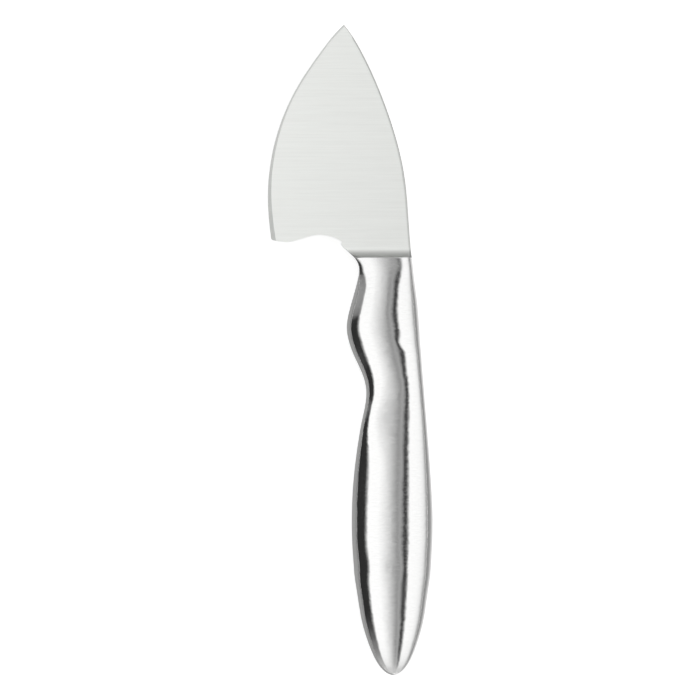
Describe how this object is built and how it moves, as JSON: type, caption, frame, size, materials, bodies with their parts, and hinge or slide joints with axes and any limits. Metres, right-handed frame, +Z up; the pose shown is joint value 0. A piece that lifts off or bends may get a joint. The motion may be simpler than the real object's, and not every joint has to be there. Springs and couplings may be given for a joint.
{
  "type": "parmesan knife",
  "caption": "Small hard-cheese knife with a broad pointed leaf blade, a waved heel and a contoured hollow steel handle.",
  "frame": {"origin": "on the table under the middle of the knife's outline, as it lies on its side", "axes": "+Y along the knife to the blade's tip, +X across it to the spine, +Z up through its thickness"},
  "size_m": [0.0494, 0.1952, 0.0136],
  "materials": {
    "blade_steel": "fine satin, ground across the blade",
    "handle_steel": "soft satin over a bright polish"
  },
  "bodies": {
    "root": {"blade": "blade_steel", "handle_shell_front": "handle_steel", "handle_shell_back": "handle_steel"}
  },
  "joints": []
}
